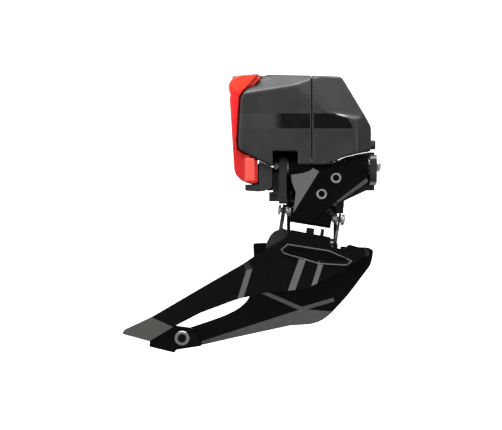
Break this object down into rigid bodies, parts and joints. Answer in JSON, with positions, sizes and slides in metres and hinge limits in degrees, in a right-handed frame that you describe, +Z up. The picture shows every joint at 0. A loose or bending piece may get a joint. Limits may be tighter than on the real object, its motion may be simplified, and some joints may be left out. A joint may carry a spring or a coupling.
{
  "type": "front derailleur",
  "caption": "Wireless electronic front derailleur for a braze-on tab: faceted housing, contact block, parallelogram links and a two-plate chain cage.",
  "frame": {"origin": "on the flat face that bears on the frame's braze-on tab, level with the middle of the bracket plate", "axes": "+Y is the outward normal of that face, towards the frame; -Y is outboard, the drive side; +X is the bike's forward direction; +Z is up"},
  "size_m": [0.0971, 0.029, 0.1047],
  "materials": {
    "shell_grey": "matte",
    "deep_grey": "satin",
    "gloss_black": "gloss",
    "anodised": "satin",
    "contact_red": "satin",
    "steel": "satin",
    "dark_steel": "satin",
    "contact_brass": "polished",
    "rubber": "matte",
    "lens_clear": "gloss",
    "board_green": "satin"
  },
  "bodies": {
    "bracket": {"base_bracket": "anodised", "housing_rear_shell": "shell_grey", "housing_front_shell": "shell_grey", "battery_foot": "shell_grey", "latch_pin": "steel", "status_lens": "lens_clear", "button_seal": "rubber", "upper_pivot_pin": "steel", "retaining_clip": "steel", "rear_washer": "steel", "front_washer": "dark_steel", "torsion_spring": "steel", "inner_upper_pin": "steel", "motor": "steel", "gearbox": "deep_grey", "circuit_board": "board_green", "radio_module": "steel", "contact_pin_a": "contact_brass", "contact_pin_b": "contact_brass", "contact_pin_c": "contact_brass", "contact_pin_d": "contact_brass"},
    "outer_link": {"outer_link": "gloss_black", "rear_bushing": "steel", "front_bushing": "steel"},
    "cage": {"cage_yoke": "deep_grey", "cage_outer_plate": "gloss_black", "cage_inner_plate": "gloss_black", "cage_front_bridge": "deep_grey", "cage_tail_bridge": "gloss_black", "cage_tail_rivet": "dark_steel", "lower_pivot_pin": "steel", "lower_pin_nut": "steel", "inner_lower_pin": "steel"},
    "inner_link": {"inner_link": "deep_grey"},
    "latch": {"battery_latch": "deep_grey"},
    "contact_block": {"contact_block": "contact_red"},
    "button": {"function_button": "rubber"},
    "screw_high": {"limit_screw_high": "steel"},
    "screw_low": {"limit_screw_low": "steel"},
    "screw_support": {"support_screw": "dark_steel"}
  },
  "joints": [
    {"name": "shift", "type": "hinge", "parent": "bracket", "child": "outer_link", "pos_m": [0, -0.022, 0.0076], "axis": [-1, 0, 0], "range_deg": [0, 34]},
    {"name": "cage_pivot", "type": "hinge", "parent": "outer_link", "child": "cage", "pos_m": [0, -0.01625, -0.01115], "axis": [-0.9871, 0, 0.1599], "range_deg": [-34.54, 0]},
    {"name": "inner_link_pivot", "type": "hinge", "parent": "bracket", "child": "inner_link", "pos_m": [0, -0.012, -0.0024], "axis": [-1, 0, 0], "range_deg": [0, 34]},
    {"name": "latch_hinge", "type": "hinge", "parent": "bracket", "child": "latch", "pos_m": [-0.0204, -0.016, 0.0395], "axis": [0, 1, 0], "range_deg": [0, 80]},
    {"name": "block_tilt", "type": "hinge", "parent": "bracket", "child": "contact_block", "pos_m": [-0.0268, -0.016, 0.001], "axis": [0, -1, 0], "range_deg": [0, 16]},
    {"name": "button_press", "type": "slide", "parent": "bracket", "child": "button", "axis": [-1, 0, 0], "range_m": [0, 0.0006], "stiffness_N_per_m": 1500, "springref_m": -0.0002},
    {"name": "limit_screw_high_turn", "type": "hinge", "parent": "outer_link", "child": "screw_high", "pos_m": [0.0074, -0.024, 0.003], "axis": [0, 1, 0], "range_deg": [-180, 180]},
    {"name": "limit_screw_low_turn", "type": "hinge", "parent": "outer_link", "child": "screw_low", "pos_m": [0.00206, -0.022, -0.003], "axis": [0, 1, 0], "range_deg": [-180, 180]},
    {"name": "support_screw_turn", "type": "hinge", "parent": "bracket", "child": "screw_support", "pos_m": [-0.0158, -0.024, -0.00375], "axis": [0, 1, 0], "range_deg": [-180, 180]}
  ],
  "couplings": [
    {"joint": "cage_pivot", "follows": "shift", "ratio": -1.013},
    {"joint": "inner_link_pivot", "follows": "shift", "ratio": 1},
    {"joint": "latch_hinge", "follows": "block_tilt", "ratio": 5}
  ]
}
